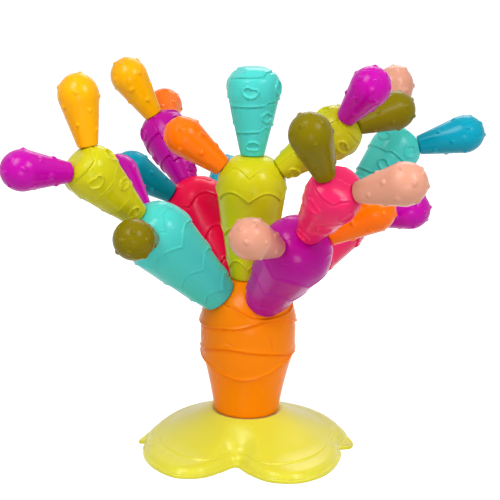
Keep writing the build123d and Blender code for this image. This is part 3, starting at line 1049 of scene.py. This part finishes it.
FINISHES = {
    "base_lime": base_plastic(),
    "trunk_orange": plastic("Orange trunk plastic", (255, 138, 0), (255, 122, 0), (0.22, 0.3), 0.1),
    "lime": plastic("Lime plastic", (204, 200, 20), (190, 182, 8)),
    "turquoise": plastic("Turquoise plastic", (78, 210, 201), (38, 178, 166)),
    "red": plastic("Red plastic", (255, 12, 78), (250, 4, 62)),
    "pink": plastic("Pink plastic", (240, 38, 104), (230, 22, 84)),
    "purple": plastic("Purple plastic", (186, 2, 152), (168, 0, 124)),
    "violet": plastic("Purple leaf plastic", (196, 4, 168), (176, 0, 138)),
    "teal": plastic("Teal plastic", (0, 160, 186), (0, 126, 156)),
    "amber": plastic("Amber plastic", (252, 178, 0), (250, 162, 0)),
    "orange": plastic("Orange leaf plastic", (255, 118, 0), (255, 96, 0)),
    "olive": plastic("Olive plastic", (130, 116, 0), (110, 94, 0), (0.2, 0.28), 0.08),
    "peach": plastic("Peach plastic", (224, 158, 132), (216, 144, 118)),
    "magnet_nickel": metal("Nickel plated magnet", (200, 198, 194), (168, 166, 160), 500.0),
    "weight_steel": metal("Rolled steel weight", (150, 150, 152), (112, 112, 114), 160.0),
    "screw_steel": metal("Zinc plated screw", (188, 190, 194), (140, 142, 148), 700.0),
}


# Making the pieces

SHARP_ANGLE = 50


def mesh_object(name, corners, faces, finish):
    mesh = bpy.data.meshes.new(name)
    mesh.from_pydata((corners * MM).tolist(), [], faces)
    mesh.update()
    mesh.shade_smooth()
    mesh.set_sharp_from_angle(angle=math.radians(SHARP_ANGLE))
    mesh.materials.append(FINISHES[finish])
    piece = bpy.data.objects.new(name, mesh)
    bpy.context.scene.collection.objects.link(piece)
    return piece


def make_tree():
    shapes = {"leaf": leaf_shape(), "branch": branch_shape(), "limb": limb_shape()}
    places = foot_places()
    for name, kind, _, _, _, colour in PIECES:
        corners, faces = shapes[kind]
        node = name if kind == "leaf" else name + "_shell"
        piece = mesh_object(name + "_skin", placed(corners, places[name]), faces, colour)
        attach(piece, name)
        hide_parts(node)
    trunk = mesh_object("trunk_skin", *trunk_shape(), "trunk_orange")
    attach(trunk, "trunk")
    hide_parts("trunk_shell")
    base = mesh_object("base_skin", *base_shape(), "base_lime")
    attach(base, "base")
    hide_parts("base_shell")


def finish_of(node):
    """The finish of a CAD node that is kept as it is."""
    if "magnet" in node:
        return "magnet_nickel"
    if node == "base_weight":
        return "weight_steel"
    if node == "base_screws":
        return "screw_steel"
    if node == "trunk_foot_cap":
        return "trunk_orange"
    return "base_lime"


def dress_nodes():
    for name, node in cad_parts.items():
        if node.hide_render:
            continue
        node.data.materials.clear()
        node.data.materials.append(FINISHES[finish_of(name)])


# Floor, lamps and camera, in metres

FLOOR_COLOUR = (0.6, 0.6, 0.6, 1.0)
FLOOR_GLOW = 0.84
FLOOR_REACH = 3.0
FLOOR_HEIGHT = -0.0004
WHITE = (1.0, 1.0, 1.0, 1.0)
WORLD_LIGHT = 0.4
WORLD_SEEN = 1.04


def floor_material():
    """A floor that shows the shadow and is white to the camera elsewhere."""
    material = bpy.data.materials.new("White studio floor")
    material.use_nodes = True
    tree = material.node_tree
    nodes = tree.nodes
    shader = nodes["Principled BSDF"]
    shader.inputs["Base Color"].default_value = FLOOR_COLOUR
    shader.inputs["Roughness"].default_value = 0.9
    shader.inputs["Specular IOR Level"].default_value = 0.0
    rays = nodes.new("ShaderNodeLightPath").outputs
    seen = math_node(tree, "MAXIMUM", rays["Is Camera Ray"], rays["Is Glossy Ray"])
    glow = math_node(tree, "MULTIPLY", seen, FLOOR_GLOW)
    shader.inputs["Emission Color"].default_value = WHITE
    tree.links.new(glow, shader.inputs["Emission Strength"])
    return material


def make_floor():
    mesh = bpy.data.meshes.new("studio_floor")
    corners = []
    for across, away in ((-1, -1), (1, -1), (1, 1), (-1, 1)):
        corners.append((across * FLOOR_REACH, away * FLOOR_REACH, FLOOR_HEIGHT))
    mesh.from_pydata(corners, [], [(0, 1, 2, 3)])
    mesh.materials.append(floor_material())
    floor = bpy.data.objects.new("studio_floor", mesh)
    bpy.context.scene.collection.objects.link(floor)


def make_world():
    """Soft light all round, and white where the camera or a reflection sees it."""
    world = bpy.data.worlds.new("Studio")
    bpy.context.scene.world = world
    world.use_nodes = True
    tree = world.node_tree
    nodes = tree.nodes
    links = tree.links
    soft = nodes["Background"]
    white = nodes.new("ShaderNodeBackground")
    for light, strength in ((soft, WORLD_LIGHT), (white, WORLD_SEEN)):
        light.inputs["Color"].default_value = WHITE
        light.inputs["Strength"].default_value = strength
    rays = nodes.new("ShaderNodeLightPath").outputs
    direct = math_node(tree, "MAXIMUM", rays["Is Camera Ray"], rays["Is Glossy Ray"])
    seen = math_node(tree, "MAXIMUM", direct, rays["Is Transmission Ray"])
    blend = nodes.new("ShaderNodeMixShader")
    links.new(seen, blend.inputs["Fac"])
    links.new(soft.outputs[0], blend.inputs[1])
    links.new(white.outputs[0], blend.inputs[2])
    links.new(blend.outputs[0], nodes["World Output"].inputs["Surface"])


TREE_MIDDLE = Vector((0, 0, 0.174))
# Name, turn, elevation, distance, width, height, power, and the power of a twin
# of the lamp that is seen in reflections only
LAMPS = (
    ("Left soft box", -40, 52, 1.15, 0.42, 0.58, 6.2, 7.0),
    ("Right soft box", 46, 44, 1.2, 0.34, 0.46, 5.4, 5.0),
    ("Front soft box", 4, -2, 1.5, 0.5, 0.4, 5.6, 0.0),
    ("Back soft box", 172, 38, 1.4, 0.7, 0.5, 4.0, 0.0),
)


def add_lamp(name, turn, elevation, distance, width, height, power):
    """A soft box, its turn counted from the front towards the right."""
    lamp = bpy.data.lights.new(name, "AREA")
    lamp.shape = "RECTANGLE"
    lamp.size = width
    lamp.size_y = height
    lamp.energy = power
    box = bpy.data.objects.new(name, lamp)
    side = math.radians(turn)
    up = math.radians(elevation)
    way = Vector((math.sin(side) * math.cos(up), -math.cos(side) * math.cos(up), math.sin(up)))
    box.location = TREE_MIDDLE + way * distance
    box.rotation_euler = way.to_track_quat("Z", "Y").to_euler()
    bpy.context.scene.collection.objects.link(box)
    return box


CAMERA_SPOT = Vector((0, -1.2489, 0.497))
CAMERA_ROLL = 1.4
CAMERA_SENSOR = 36.0
CAMERA_LENS = 109.3


def make_camera():
    ahead = (TREE_MIDDLE - CAMERA_SPOT).normalized()
    right = ahead.cross(Vector((0, 0, 1))).normalized()
    up = right.cross(ahead)
    roll = math.radians(CAMERA_ROLL)
    image_right = right * math.cos(roll) + up * math.sin(roll)
    image_up = up * math.cos(roll) - right * math.sin(roll)
    lens = bpy.data.cameras.new("Camera")
    lens.sensor_width = CAMERA_SENSOR
    lens.lens = CAMERA_LENS
    camera = bpy.data.objects.new("Camera", lens)
    turn = Matrix((image_right, image_up, -ahead)).transposed()
    camera.matrix_world = Matrix.Translation(CAMERA_SPOT) @ turn.to_4x4()
    bpy.context.scene.collection.objects.link(camera)
    bpy.context.scene.camera = camera


make_tree()
dress_nodes()
make_floor()
make_world()
for name, turn, elevation, distance, width, height, power, shine in LAMPS:
    add_lamp(name, turn, elevation, distance, width, height, power)
    if shine:
        sparkle = add_lamp(name + " shine", turn, elevation, distance, width, height, shine)
        sparkle.visible_diffuse = False
make_camera()
bpy.context.scene.view_settings.view_transform = "Standard"
